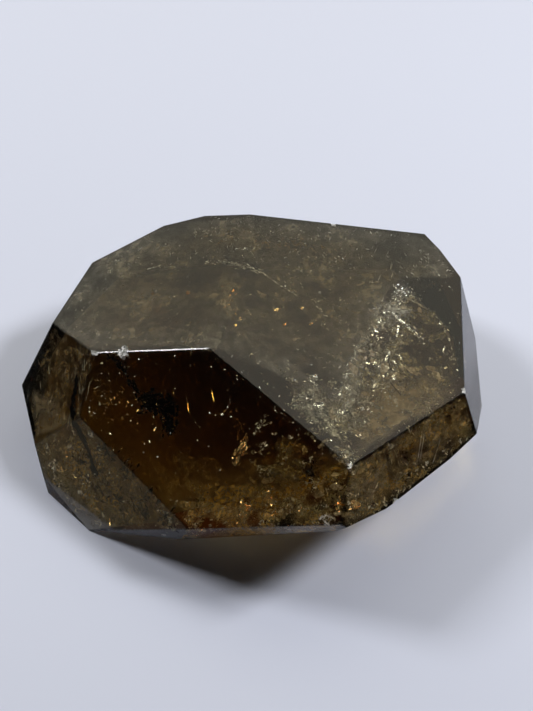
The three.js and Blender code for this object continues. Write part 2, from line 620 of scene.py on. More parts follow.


# %% [markdown]
# ## Materials of what is inside
# A crack inside a crystal is a film of air or fluid, and it mirrors light. So these surfaces are
# all a little metallic and not very rough: they stay dull from most sides and flash from one,
# which is what makes the inside of quartz sparkle.
#
# - `healed_crack` is the white of closed cracks, `bright_scale` the flash of an open one
# - `iron_stain` is orange, `pale_gold` the thin yellow film of weathered iron
# - `black_seam_and_shade` is a crack filled with black mineral, and it is dull, so it shows no mirror
#   image; at the left tip the same surface is painted shade

# %% Inclusion materials
CRUMPLE_HEIGHT = 0.25 * MM
CRUMPLE_STRENGTH = 0.3


def inclusion(name, dull, bright, grain, metallic, roughness):
    """A crack surface that is uneven all over, so that parts of it flash and parts don't."""
    material, tree, shader = principled(name, Metallic=metallic, Roughness=roughness)
    tint = use_group(tree, grain_tint, Scale=grain, Dull=(*dull, 1), Bright=(*bright, 1))
    uneven = tree.nodes.new("ShaderNodeBump")
    uneven.inputs["Strength"].default_value = CRUMPLE_STRENGTH
    uneven.inputs["Distance"].default_value = CRUMPLE_HEIGHT
    tree.links.new(tint.outputs["Color"], shader.inputs["Base Color"])
    tree.links.new(tint.outputs["Height"], uneven.inputs["Height"])
    tree.links.new(uneven.outputs["Normal"], shader.inputs["Normal"])
    return material, tree, shader


healed_crack = inclusion("healed_crack", (0.55, 0.55, 0.53), (1.0, 1.0, 0.98), 1300.0, 0.75, 0.32)[0]
bright_scale = inclusion("bright_scale", (0.80, 0.88, 1.0), (0.94, 0.98, 1.0), 1500.0, 0.85, 0.22)[0]
iron_stain = inclusion("iron_stain", (0.90, 0.42, 0.10), (1.0, 0.75, 0.30), 1100.0, 0.80, 0.26)[0]
pale_gold = inclusion("pale_gold", (0.45, 0.39, 0.25), (1.0, 0.92, 0.68), 1300.0, 0.75, 0.32)[0]
# A real black seam, and also used as painted shade on a near-black sheet at the left tip.
black_seam_and_shade, _, shader = inclusion(
    "black_seam_and_shade", (0.002, 0.001, 0.001), (0.012, 0.008, 0.005), 900.0, 0.0, 0.85)
shader.inputs["Specular IOR Level"].default_value = 0.1
print("five crack surfaces, the last is", black_seam_and_shade.name)

# %% [markdown]
# A veil is a crack surface on a sheet that is mostly holes. The first three are bright films:
# white and golden ones are lacy, and `beige_plate` is nearly closed. The next are hazes of
# bubbles too fine to see, so they aren't metallic and only take the blackness off the crystal
# behind them. `amber_haze` and `brown_haze` are stained, `faint_haze` is grey, `smooth_haze` has
# the broadest patches. `painted_shade_veil` does the opposite and isn't metallic either: it is
# painted shade, a near-black sheet that darkens a place where little light reaches.

# %% Veil materials
TINT_FINENESS = 5


def veil_material(
        name, dull, bright, grain, cover, bare, full, closed=0.06, metallic=0.5, roughness=0.5):
    """A thin veil: patches of crack surface with clear crystal between them."""
    material, tree, shader = inclusion(
        name, dull, bright, grain * TINT_FINENESS, metallic, roughness)
    density = use_group(
        tree, veil_density, Scale=grain, Bare=bare, Full=full, Cover=cover, Closed=closed)
    tree.links.new(density.outputs["Alpha"], shader.inputs["Alpha"])
    return material


white_veil = veil_material(
    "white_veil", (0.42, 0.43, 0.43), (1.0, 1.0, 1.0), 190.0, cover=1.0, bare=0.38, full=0.56,
    closed=0.15)
golden_veil = veil_material(
    "golden_veil", (0.38, 0.34, 0.22), (1.0, 0.94, 0.70), 210.0, cover=0.8, bare=0.40, full=0.58,
    closed=0.12)
beige_plate = veil_material(
    "beige_plate", (0.45, 0.38, 0.30), (1.0, 0.90, 0.76), 420.0, cover=0.9, bare=0.20, full=0.46,
    closed=0.60, metallic=0.3)
amber_haze = veil_material(
    "amber_haze", (0.42, 0.265, 0.08), (1.0, 0.66, 0.21), 240.0, cover=0.8, bare=0.36, full=0.62,
    closed=0.30, metallic=0.0, roughness=0.9)
brown_haze = veil_material(
    "brown_haze", (0.07, 0.048, 0.018), (0.52, 0.37, 0.17), 170.0, cover=0.8, bare=0.32, full=0.60,
    closed=0.22, metallic=0.0, roughness=0.9)
faint_haze = veil_material(
    "faint_haze", (0.20, 0.182, 0.145), (0.64, 0.58, 0.46), 150.0, cover=0.60, bare=0.26, full=0.68,
    closed=0.72, metallic=0.0, roughness=0.9)
smooth_haze = veil_material(
    "smooth_haze", (0.38, 0.30, 0.18), (0.72, 0.58, 0.38), 75.0, cover=0.6, bare=0.20, full=0.60,
    closed=0.75, metallic=0.0, roughness=0.9)
# Painted shade: this near-black veil is used only at the left tip, to darken it where little light
# reaches.
painted_shade_veil = veil_material(
    "painted_shade_veil", (0.004, 0.004, 0.003), (0.02, 0.02, 0.014), 200.0, cover=1.0, bare=0.30, full=0.42,
    closed=0.6, metallic=0.0, roughness=0.9)
print(len(bpy.data.materials), "materials in all")


# %% [markdown]
# ## Which way a crack must face to flash
# A scale inside the stone flashes when it mirrors a lamp to the eye. Both the eye and the lamp
# are met through a facet, which bends their directions toward the facet's own (Snell's law).
# Halfway between the two bent directions is the way that a bright scale faces. Facets are given
# by compass angle and height angle, as the lamps are.

# %% Flash directions
EYE = CAMERA_PLACE.normalized()
FACET_TOP_LEFT = toward(164.0, 72.4)
FACET_TOP_RIGHT = toward(359.4, 82.2)
FACET_FRONT = toward(235.4, 51.8)
FACET_FRONT_RIGHT = toward(313.8, 38.0)
FACET_LEFT = toward(208.6, 42.4)
FACET_FRONT_LEFT = toward(230.4, 33.4)


def bend_inward(direction, facet):
    """Where something outside seems to be, seen from inside the stone through a facet."""
    slant = direction.dot(facet)
    slant_inside = math.sqrt(1 - (1 - slant ** 2) / QUARTZ_INDEX ** 2)
    return direction / QUARTZ_INDEX + facet * (slant_inside - slant / QUARTZ_INDEX)


def flash_facing(facet, lamp):
    """Which way a scale faces that mirrors this lamp to the eye through this facet."""
    return (bend_inward(EYE, facet) + bend_inward(lamp, facet)).normalized()


FLASH_TOP = flash_facing(FACET_TOP_RIGHT, PANEL_HIGH)
FLASH_TOP_LAMP = flash_facing(FACET_TOP_RIGHT, RIGHT_LAMP)
FLASH_TOP_LEFT = flash_facing(FACET_TOP_LEFT, PANEL_LOW)
FLASH_FRONT = flash_facing(FACET_FRONT, LEFT_LAMP)
FLASH_FRONT_RIGHT = flash_facing(FACET_FRONT_RIGHT, RIGHT_LAMP)
FLASH_LEFT = flash_facing(FACET_LEFT, LEFT_LAMP)
FLASH_FRONT_LEFT = flash_facing(FACET_FRONT_LEFT, LEFT_LAMP)
print("a scale flashes at the top when it faces", [round(part, 2) for part in FLASH_TOP_LAMP])


# %% [markdown]
# ## Building veils
# A crack that healed is a crumpled sheet. It could be sculpted, but a few rows of points are
# enough: the sheet is smoothed between them and crumpled with noise. First come the tools for
# that, a smooth curve through points and a smooth surface through rows of points.

# %% Smooth curves and surfaces
def blend_along(points, t):
    """A smooth curve through the points, at t from 0 to 1 (Catmull-Rom)."""
    span = t * (len(points) - 1)
    i = min(int(span), len(points) - 2)
    u = span - i
    before = points[max(i - 1, 0)]
    start, end = points[i], points[i + 1]
    after = points[min(i + 2, len(points) - 1)]
    return 0.5 * (
        2 * start + (end - before) * u
        + (2 * before - 5 * start + 4 * end - after) * u * u
        + (3 * start - before - 3 * end + after) * u ** 3)


def sheet_point(rows, across, down):
    return blend_along([blend_along(row, across) for row in rows], down)


def in_mm(rows):
    return [[Vector(place) * MM for place in row] for row in rows]


print("halfway along three steps:", blend_along([0.0, 1.0, 4.0], 0.5))

# %% [markdown]
# Every piece inside the stone is made in the same last step: it gets its material, rides on the
# stone's body and shares its slot. The `cover` attribute says how much of a veil is left at each
# point. It falls to nothing at a sheet's rim, so a sheet has no hard outline.
#
# Blender's `noise_vector` takes its starting point from the clock, so the veils would be crumpled
# in another way on each run. Its seed is set once, and every run gives the same stone.

# %% Sheets
SHEET_STEPS = 72
SHEET_DEPTH = 0.6
NO_RIM = 1e-6
COARSE_CRUMPLE, FINE_CRUMPLE, FINE_SHARE = 350, 1500, 0.45
SEED_SHIFT = (3.1, 5.7, 1.3)
CRUMPLE_SEED = 1795483282
noise.seed_set(CRUMPLE_SEED)


def crumple(place, amount, seed):
    """A push in a random direction that changes smoothly from place to place."""
    shift = Vector([seed * part for part in SEED_SHIFT])
    coarse = noise.noise_vector(place * COARSE_CRUMPLE + shift)
    fine = noise.noise_vector(place * FINE_CRUMPLE + shift)
    return (coarse + FINE_SHARE * fine) * amount


def seal_in(name, places, faces, cover, material, smooth=False):
    """Makes a piece of the stone from places, faces, and the cover at each place."""
    mesh = bpy.data.meshes.new(name)
    mesh.from_pydata(places, [], faces)
    layer = mesh.attributes.new("cover", "FLOAT", "POINT")
    layer.data.foreach_set("value", cover)
    mesh.polygons.foreach_set("use_smooth", [smooth] * len(faces))
    mesh.materials.append(material)
    piece = add_object(name, mesh)
    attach(piece, "root")


def add_sheet(name, rows, material, amount, seed, rim=0.18, depth=SHEET_DEPTH):
    """A veil as one crumpled sheet, thin at its rim and at least this deep (mm) in the stone."""
    rows = in_mm(rows)
    places, cover = [], []
    for j in range(SHEET_STEPS + 1):
        for i in range(SHEET_STEPS + 1):
            across, down = i / SHEET_STEPS, j / SHEET_STEPS
            place = sheet_point(rows, across, down)
            place += crumple(place, amount * MM, seed)
            places.append(pull_inside(place, depth * MM))
            nearest_rim = min(across, 1 - across, down, 1 - down)
            cover.append(min(1.0, nearest_rim / max(rim, NO_RIM)))
    faces = []
    for j in range(SHEET_STEPS):
        for i in range(SHEET_STEPS):
            first = j * (SHEET_STEPS + 1) + i
            faces.append((first, first + 1, first + SHEET_STEPS + 2, first + SHEET_STEPS + 1))
    seal_in(name, places, faces, cover, material, smooth=True)
    print(name, "reaches down to", round(min(place.z for place in places) / MM, 1), "mm")


# %% [markdown]
# ## Building scales, flecks and needles
# Everything else is many small flat scales, each a ragged polygon with its own size and lean.
# Scales that are long and thin make streaks and needles. Scattering objects would be slow here,
# so one piece holds up to thousands of scales in a single mesh, and each kind has its own piece
# and material. The heap keeps its own random numbers, so that every run gives the same stone.

# %% One scale
SCALE_CORNERS = 6
SCALE_DEPTH = 0.3
CORNER_WANDER = 0.3
SHORTEST_REACH = 0.65
SMALL_ONES = 2.5


class ScaleHeap:
    """A growing heap of small ragged scales that becomes one mesh. Its sizes are in mm."""

    def __init__(self, name, material, seed):
        self.name, self.material = name, material
        self.random = random.Random(seed)
        self.places, self.faces = [], []

    def lean(self, direction, amount):
        """The direction, tipped at random. At 1 it is tipped by up to half a turn."""
        tip = Vector([self.random.gauss(0, 1) for _ in range(3)])
        return (direction.normalized() + tip * amount).normalized()

    def pick_size(self, sizes):
        """Mostly small ones and a few large ones."""
        small, large = sizes
        return small + (large - small) * self.random.random() ** SMALL_ONES

    def drift(self, amount):
        return Vector([self.random.gauss(0, amount * MM) for _ in range(3)])

    def add(self, centre, along, facing, length, width):
        """One scale, with its flat side facing one way and its long axis near another."""
        side = facing.cross(along).normalized()
        axis = side.cross(facing).normalized()
        first = len(self.places)
        for k in range(SCALE_CORNERS):
            wander = self.random.uniform(-CORNER_WANDER, CORNER_WANDER)
            angle = 2 * math.pi * (k + wander) / SCALE_CORNERS
            reach = self.random.uniform(SHORTEST_REACH, 1.0) * MM / 2
            corner = axis * math.cos(angle) * length * reach
            corner += side * math.sin(angle) * width * reach
            self.places.append(pull_inside(centre + corner, SCALE_DEPTH * MM))
        self.faces.append(tuple(range(first, first + SCALE_CORNERS)))

    def finish(self):
        cover = [1.0] * len(self.places)
        seal_in(self.name, self.places, self.faces, cover, self.material)
        print(self.name, len(self.faces), "scales")


# %% [markdown]
# Real flecks lie in four ways: over a crack, along a line, in a small cloud, or in many small
# clouds over a crack. A single needle is the fifth. Each way is a method of its own.

# %% Heaps of scales
AHEAD = 0.02
NEEDLE_REACH = 1.15
SMALLEST_TUFT = 0.3
LEAST_CHANCE, USUAL_CHANCE, CHANCE_SWING = 0.02, 0.35, 1.6


class Scales(ScaleHeap):
    """A heap with ways to strew its scales over sheets, along lines and in clouds."""

    def over_sheet(self, rows, count, sizes, shape, facing, lean, scatter=0.4, along=None,
                   sink=(0, 0), weight=None):
        """Scales over a sheet. weight(across, down) is the chance that a place is taken, and
        sink is the least and most depth (mm) below the facets where the sheet lies on them."""
        rows = in_mm(rows)
        placed = 0
        while placed < count:
            across, down = self.random.random(), self.random.random()
            if weight and self.random.random() > weight(across, down):
                continue
            place = sheet_point(rows, across, down)
            place = pull_inside(place + self.drift(scatter), self.random.uniform(*sink) * MM)
            direction = Vector(along) if along else self.drift(1)
            size = self.pick_size(sizes)
            self.add(place, self.lean(direction, lean), self.lean(facing, lean), size, size * shape)
            placed += 1

    def along_line(self, line, count, sizes, shape, facing, lean, scatter=0.2):
        """Scales along a smooth line through the places (mm), their long axes following it."""
        points = [Vector(place) * MM for place in line]
        for _ in range(count):
            t = self.random.random()
            ahead = blend_along(points, min(t + AHEAD, 1)) - blend_along(points, max(t - AHEAD, 0))
            place = blend_along(points, t) + self.drift(scatter)
            size = self.pick_size(sizes)
            self.add(place, self.lean(ahead, lean), self.lean(facing, lean), size, size * shape)

    def cluster(self, centre, count, spread, sizes, shape, facing, lean):
        """A small cloud of scales around one place (mm)."""
        for _ in range(count):
            place = Vector(centre) * MM + self.drift(spread)
            size = self.pick_size(sizes)
            self.add(place, self.drift(1), self.lean(facing, lean), size, size * shape)

    def tufts(self, rows, number, count, spread, sizes, shape, facing, lean):
        """Small clouds of scales here and there over a sheet, the largest with this count."""
        rows = in_mm(rows)
        for _ in range(number):
            across, down = self.random.random(), self.random.random()
            middle = sheet_point(rows, across, down) / MM
            share = self.random.uniform(SMALLEST_TUFT, 1.0)
            self.cluster(middle, int(count * share), spread * share, sizes, shape, facing, lean)

    def needle(self, start, end, width, facing):
        """One straight needle between two places (mm)."""
        start, end = Vector(start) * MM, Vector(end) * MM
        length = (end - start).length / MM
        self.add((start + end) / 2, end - start, facing, length * NEEDLE_REACH, width)


def patchy(across, down, grain, seed):
    """A chance that comes and goes in patches over a sheet."""
    cloud = noise.noise(Vector((across * grain, down * grain, seed)))
    return min(1.0, max(LEAST_CHANCE, USUAL_CHANCE + CHANCE_SWING * cloud))


print("chance of a fleck in the middle of a sheet:", round(patchy(0.5, 0.5, 5.0, 0.0), 2))


# %% [markdown]
# ## Haze under the top
# Seen from above, the top is never quite clear. Broad, cloudy sheets of the finest bubbles lie
# under both facets, thick in some places and thin in others. Fog in the volume would hide what
# is below it, so each haze is a sheet. It is a shallow bowl: its rims touch the facets and its
# middle hangs a few millimetres down, so that wisps and sparks lie in front of it.

# %% Haze
HAZE_RIGHT = [
    [(-1.4, 27.7, 28.0), (12.0, 27.5, 27.0), (24.0, 27.3, 25.4), (34.2, 26.8, 24.0)],
    [(-3.0, 22.0, 25.4), (12.0, 20.0, 24.0), (24.0, 18.5, 22.4), (38.8, 17.4, 23.2)],
    [(-5.2, 11.0, 25.4), (8.0, 9.0, 24.2), (16.0, 9.0, 23.2), (27.0, 13.5, 24.0)],
    [(-8.0, -4.4, 28.8), (6.0, -10.0, 27.2), (12.0, -14.0, 26.4), (17.5, -18.0, 25.8)],
]
HAZE_LEFT = [
    [(-30.6, 23.0, 19.6), (-17.0, 29.4, 23.1), (1.6, 27.5, 28.2)],
    [(-33.6, 15.8, 19.4), (-17.0, 20.0, 21.2), (0.4, 21.0, 25.4)],
    [(-36.5, 8.6, 19.1), (-20.0, 11.0, 21.4), (-1.4, 11.0, 25.4)],
    [(-27.4, -0.6, 22.6), (-17.0, -2.6, 25.0), (-5.0, -5.4, 28.9)],
]
add_sheet("haze_top_right", HAZE_RIGHT, faint_haze, amount=0.5, seed=31, rim=0.05, depth=0.3)
add_sheet("haze_top_left", HAZE_LEFT, faint_haze, amount=0.5, seed=32, rim=0.04, depth=0.3)

# %% [markdown]
# A web of faint, short curls is spread through the haze. They are long, thin scales that lean
# this way and that, so only some of them catch the light.

# %% Cobweb
cobweb = Scales("cobweb_under_the_top", healed_crack, seed=34)
cobweb.over_sheet(
    HAZE_RIGHT, 760, (0.10, 1.0), 0.16, FLASH_TOP, lean=0.35, scatter=0.9,
    weight=lambda across, down: patchy(across, down, 5.0, 3.0))
cobweb.over_sheet(
    HAZE_LEFT, 420, (0.10, 0.9), 0.18, FLASH_TOP_LEFT, lean=0.35, scatter=0.9,
    weight=lambda across, down: patchy(across, down, 5.0, 7.0))
cobweb.finish()

# %% [markdown]
# ## The bell-shaped crack
# The largest crack hangs under the right half of the top like a bell: a narrow crown near the
# back, and a skirt that widens and goes deeper toward the front. Its left half is close to the
# surface and white, and where it is deeper the smoke above it turns it golden. So it is three
# sheets: a white one at the left, a golden one behind all of it, and a soft skirt below, where
# the crack runs out under the front ridge.

# %% Bell crack
BELL_CRACK = [
    [(27.3, 12.6, 23.6), (28.7, 13.3, 23.4), (29.9, 12.5, 23.0)],
    [(22.3, 4.4, 23.3), (27.5, 4.5, 21.8), (35.2, 8.0, 20.8)],
    [(18.3, -4.4, 23.7), (27.0, -3.8, 21.2), (37.6, -0.1, 20.0)],
    [(15.5, -12.3, 23.8), (24.5, -12.2, 21.2), (36.0, -8.4, 19.6)],
    [(12.5, -18.6, 23.8), (19.4, -19.8, 21.9), (30.6, -13.2, 19.4)],
]
BELL_SKIRT = [
    [(19.5, -9.2, 23.2), (27.0, -6.0, 21.6), (36.6, -3.6, 20.6)],
    [(17.6, -18.0, 23.8), (26.0, -13.0, 22.2), (36.6, -7.0, 21.4)],
    [(17.4, -25.6, 25.2), (27.2, -17.4, 23.8), (37.2, -9.6, 22.6)],
]
add_sheet("bell_skirt", BELL_SKIRT, smooth_haze, amount=0.8, seed=14, rim=0.22)
BELL_BRIGHT = [
    [(27.3, 12.6, 23.6), (28.0, 13.1, 23.6), (29.0, 12.8, 23.4)],
    [(22.3, 4.4, 23.3), (25.4, 5.0, 22.6), (29.5, 5.6, 21.9)],
    [(18.3, -4.4, 23.7), (22.4, -4.0, 22.6), (27.0, -3.6, 21.6)],
    [(15.5, -12.3, 23.8), (20.0, -12.2, 22.6), (24.5, -12.0, 21.6)],
    [(12.5, -18.6, 23.8), (15.0, -19.4, 23.2), (18.4, -19.8, 22.4)],
]
add_sheet("bell_crack", BELL_BRIGHT, white_veil, amount=1.5, seed=2, rim=0.14)
add_sheet("bell_crack_behind", BELL_CRACK, golden_veil, amount=2.4, seed=3, rim=0.14)

# %% [markdown]
# The crack has come apart into plates here and there. They are the largest flat pieces in it,
# beige and nearly closed, and most of them lie in four groups.

# %% Bell plates
bell_plates = Scales("bell_crack_plates", beige_plate, seed=13)
bell_plates.over_sheet(
    BELL_CRACK, 24, (1.6, 4.4), 0.55, FLASH_TOP_LAMP, lean=0.20, scatter=0.5,
    weight=lambda across, down: 0.2 + 0.8 * down)
for place, count, spread, sizes, shape in (
    ((24.2, -11.0, 21.3), 9, 1.1, (2.2, 5.4), 0.65),
    ((26.2, -4.0, 21.6), 6, 1.0, (1.8, 4.2), 0.55),
    ((20.6, -2.6, 23.2), 7, 1.2, (1.6, 3.8), 0.45),
    ((28.6, 10.6, 23.0), 5, 0.8, (1.6, 3.0), 0.55),
):
    bell_plates.cluster(place, count, spread, sizes, shape, FLASH_TOP_LAMP, 0.16)
bell_plates.finish()

# %% [markdown]
# Between the plates the crack is crushed to grains. They are thick along its left rim and along
# the middle, thin elsewhere, and a fine row of them draws its right rim.

# %% Bell grains
bell_grains = Scales("bell_crack_grains", healed_crack, seed=11)
bell_grains.over_sheet(
    BELL_CRACK, 560, (0.08, 1.1), 0.38, FLASH_TOP_LAMP, lean=0.30, scatter=0.8,
    weight=lambda across, down: patchy(across, down, 7.0, 0.3))
bell_grains.over_sheet(
    BELL_CRACK, 700, (0.10, 0.8), 0.45, FLASH_TOP_LAMP, lean=0.22, scatter=0.35,
    weight=lambda across, down: max(0.0, 1 - across * 4.0) * min(1.0, down * 3))
bell_grains.along_line(
    [(24.2, -1.0, 21.9), (23.6, -6.0, 21.8), (20.5, -11.5, 22.2), (17.5, -15.5, 22.8)],
    220, (0.15, 1.3), 0.38, FLASH_TOP_LAMP, lean=0.18, scatter=0.9)
bell_grains.along_line(
    [(29.4, 11.4, 22.4), (33.4, 9.2, 20.9), (35.9, 5.2, 20.5), (37.1, -1.5, 20.3)],
    170, (0.1, 1.0), 0.30, FLASH_TOP_LAMP, lean=0.22, scatter=0.10)
bell_grains.tufts(BELL_CRACK, 26, 26, 0.5, (0.10, 0.9), 0.4, FLASH_TOP_LAMP, 0.25)
bell_grains.cluster((24.6, -12.6, 21.6), 60, 1.1, (0.3, 1.6), 0.5, FLASH_TOP_LAMP, 0.25)
bell_grains.finish()

# %% [markdown]
# Eight hundred scales are open cracks that face the right lamp almost exactly, so they flash
# white. Five straight slivers among them are placed one by one.

# %% Bell flashes
bell_flashes = Scales("bell_crack_flashes", bright_scale, seed=12)
bell_flashes.along_line(
    [(29.2, 13.2, 23.8), (26.6, 10.8, 23.6), (23.8, 7.4, 23.4), (21.8, 4.0, 23.5)],
    110, (0.15, 0.9), 0.45, FLASH_TOP_LAMP, lean=0.18, scatter=0.5)
bell_flashes.cluster((28.6, 12.4, 23.6), 60, 0.8, (0.15, 1.2), 0.5, FLASH_TOP_LAMP, 0.07)
bell_flashes.along_line(
    [(19.2, -2.0, 23.7), (17.4, -7.0, 23.8), (15.6, -12.3, 23.9)],
    130, (0.15, 0.9), 0.5, FLASH_TOP_LAMP, lean=0.10, scatter=0.45)
bell_flashes.over_sheet(
    BELL_BRIGHT, 420, (0.15, 1.1), 0.42, FLASH_TOP_LAMP, lean=0.07,
    weight=lambda across, down: patchy(across, down, 6.0, 1.0) * (1 - 0.6 * across))
for place, count, spread, sizes in (
    ((11.5, -8.9, 25.1), 34, 0.40, (0.15, 1.2)),
    ((12.4, -14.6, 24.8), 34, 0.50, (0.15, 1.2)),
    ((28.0, -14.6, 22.6), 10, 0.30, (0.15, 0.9)),
):
    bell_flashes.cluster(place, count, spread, sizes, 0.4, FLASH_TOP_LAMP, 0.07)
for start, end, width in (
    ((25.4, 7.7, 23.2), (32.3, 1.8, 22.4), 0.20),
    ((26.0, 7.0, 23.0), (31.6, 1.9, 22.2), 0.14),
    ((24.2, -3.6, 22.8), (25.3, -1.3, 22.7), 0.50),
    ((26.7, 1.6, 22.9), (27.3, 5.2, 22.9), 0.45),
    ((35.0, -0.6, 21.0), (35.5, 1.6, 20.9), 0.40),
):
    bell_flashes.needle(start, end, width, FLASH_TOP_LAMP)
bell_flashes.finish()

# %% [markdown]
# ## Feathers and wisps under the top
# Smaller cracks lie just under the two top facets: a white feather with a long tail where the
# facets meet, a short streak left of it, a hair line that runs back to the rim, and loose curls
# between the feather and the bell. A brown cloud and long faint streaks follow the back rim.
# They are strewn along lines, with more wander where the real crack is ragged.

# %% Wisps
BACK_CLOUD = [
    [(-25.2, 22.4, 19.2), (-8.3, 27.0, 23.9), (9.5, 25.4, 25.1), (36.0, 23.0, 21.0)],
    [(-24.4, 15.0, 19.6), (-7.9, 20.7, 24.1), (9.4, 18.0, 24.7), (37.0, 14.5, 20.2)],
]
BACK_STREAK = (1.0, -2.2, 0.0)
add_sheet("back_cloud", BACK_CLOUD, brown_haze, amount=1.5, seed=9, rim=0.35)
wisps = Scales("wisps_under_the_top", healed_crack, seed=21)
wisps.along_line(
    [(-7.6, 17.9, 25.0), (-3.4, 16.0, 26.4), (-0.6, 15.2, 26.6), (2.3, 14.3, 26.1)],
    150, (0.15, 1.1), 0.35, FLASH_TOP, lean=0.25, scatter=0.30)
wisps.along_line(
    [(2.3, 14.3, 26.1), (5.7, 11.6, 25.7), (9.1, 9.2, 25.2)],
    60, (0.2, 0.9), 0.22, FLASH_TOP, lean=0.15, scatter=0.07)
wisps.along_line(
    [(-18.9, 19.0, 21.6), (-16.6, 18.9, 22.4), (-13.6, 17.9, 23.4)],
    60, (0.2, 0.9), 0.22, FLASH_TOP_LEFT, lean=0.22, scatter=0.12)
wisps.along_line([(-0.2, 19.4, 25.6), (7.8, 28.6, 24.2)], 26, (0.3, 1.0), 0.10, FLASH_TOP, 0.15, 0.05)
for curl in (
    [(9.3, 12.3, 25.0), (11.0, 9.4, 24.8), (12.6, 9.1, 24.6)],
    [(12.2, 8.2, 24.7), (14.0, 5.6, 24.5), (17.0, 5.2, 24.1)],
    [(13.0, 3.6, 24.7), (15.5, 2.5, 24.3), (18.2, 4.2, 24.0)],
    [(6.0, 17.9, 25.4), (9.0, 16.0, 25.2), (11.3, 14.8, 25.2)],
    [(12.6, 9.1, 24.6), (15.8, 8.2, 24.2), (17.6, 9.7, 24.0)],
    [(-31.8, 6.1, 19.2), (-30.6, 9.0, 19.1), (-31.2, 12.0, 18.6)],
    [(-29.5, 4.6, 20.0), (-28.2, 8.0, 19.8), (-27.8, 9.9, 19.7)],
):
    wisps.along_line(curl, 34, (0.10, 0.8), 0.30, FLASH_TOP, lean=0.45, scatter=0.35)
for blob in (
    (-25.6, 23.0, 18.8), (-26.8, 20.6, 18.8), (-10.4, 26.8, 23.1),
    (-8.2, 26.4, 23.6), (10.2, 21.6, 25.4),
):
    wisps.cluster(blob, 14, 0.35, (0.15, 0.8), 0.6, FLASH_TOP_LEFT, 0.25)
wisps.over_sheet(
    BACK_CLOUD, 170, (0.10, 1.8), 0.10, FLASH_TOP_LEFT, lean=0.25, scatter=0.8, along=BACK_STREAK,
    weight=lambda across, down: patchy(across, down, 9.0, 4.0))
wisps.over_sheet(
    [[(20.0, 26.0, 24.0), (31.0, 24.0, 22.6)], [(21.0, 14.0, 24.0), (32.0, 12.0, 22.0)]],
    40, (0.3, 3.4), 0.035, FLASH_TOP, lean=0.12, scatter=0.6, along=(0.3, 1.0, 0.0))
wisps.tufts(BACK_CLOUD, 26, 16, 0.7, (0.08, 0.9), 0.3, FLASH_TOP_LEFT, 0.3)
wisps.finish()

# %% [markdown]
# ## White tufts on the front ridge
# Where the right top facet meets the big front facet, a row of ragged white tufts stands just
# under the ridge. A thin white cloud ties them together. More tufts hang in the dark below the
# ridge, behind the front facet, and get fewer toward the golden cloud.

# %% Tufts
RIDGE_CLOUD = [
    [(6.1, -7.8, 24.9), (10.0, -8.6, 24.5), (15.5, -8.3, 23.7)],
    [(7.6, -14.0, 24.7), (12.0, -15.0, 24.2), (16.5, -16.0, 23.4)],
    [(12.0, -20.2, 23.9), (15.0, -22.6, 23.3), (17.4, -24.2, 22.9)],
]
add_sheet("ridge_cloud", RIDGE_CLOUD, white_veil, amount=1.2, seed=12, rim=0.22)
tufts = Scales("tufts_at_the_ridge", healed_crack, seed=31)
for tuft, count in (
    ((11.3, -8.7, 25.1), 26), ((11.8, -10.4, 25.0), 18), ((9.6, -13.2, 25.3), 30),
    ((8.2, -14.6, 25.1), 30), ((12.8, -12.2, 24.9), 16), ((6.1, -7.8, 25.3), 10),
):
    tufts.cluster(tuft, count, 0.5, (0.15, 1.1), 0.38, FLASH_TOP_LAMP, 0.3)
tufts.over_sheet(
    RIDGE_CLOUD, 260, (0.08, 1.0), 0.36, FLASH_TOP_LAMP, lean=0.28, scatter=0.5,
    weight=lambda across, down: patchy(across, down, 6.0, 9.0))
tufts.tufts(RIDGE_CLOUD, 12, 26, 0.5, (0.10, 1.0), 0.4, FLASH_TOP_LAMP, 0.25)
for place, count, spread, sizes, shape in (
    ((3.6, -16.7, 23.7), 22, 0.5, (0.15, 1.0), 0.45),
    ((3.4, -20.0, 21.4), 16, 0.5, (0.15, 0.9), 0.4),
    ((3.2, -23.6, 19.0), 24, 0.6, (0.15, 1.0), 0.5),
    ((7.0, -21.6, 20.6), 20, 0.6, (0.15, 1.0), 0.45),
):
    tufts.cluster(place, count, spread, sizes, shape, FLASH_FRONT, 0.3)
tufts.cluster((13.4, -32.8, 19.9), 34, 0.55, (0.20, 1.3), 0.35, FLASH_FRONT, 0.12)
FRONT_TUFTS = [
    [(2.0, -14.0, 24.4), (8.0, -18.0, 24.0), (14.0, -22.6, 23.6)],
    [(1.0, -21.0, 18.6), (7.0, -23.6, 19.4), (14.0, -27.0, 20.4)],
    [(-2.0, -28.0, 13.4), (6.0, -29.6, 16.0), (14.0, -31.0, 18.8)],
]
tufts.tufts(FRONT_TUFTS, 34, 16, 0.36, (0.10, 0.9), 0.4, FLASH_FRONT, 0.25)
tufts.finish()

# %% [markdown]
# ## The golden cloud above the front rim
# Low in the front right of the stone the crystal is full of fine stained cracks. Through the
# front facet they look like gold dust, with darker gaps and a few large yellow scales. A soft
# amber glow reaches further left than the cloud itself, and the narrow rim below the front facet
# has its own cloud and a strip of haze just under its surface.

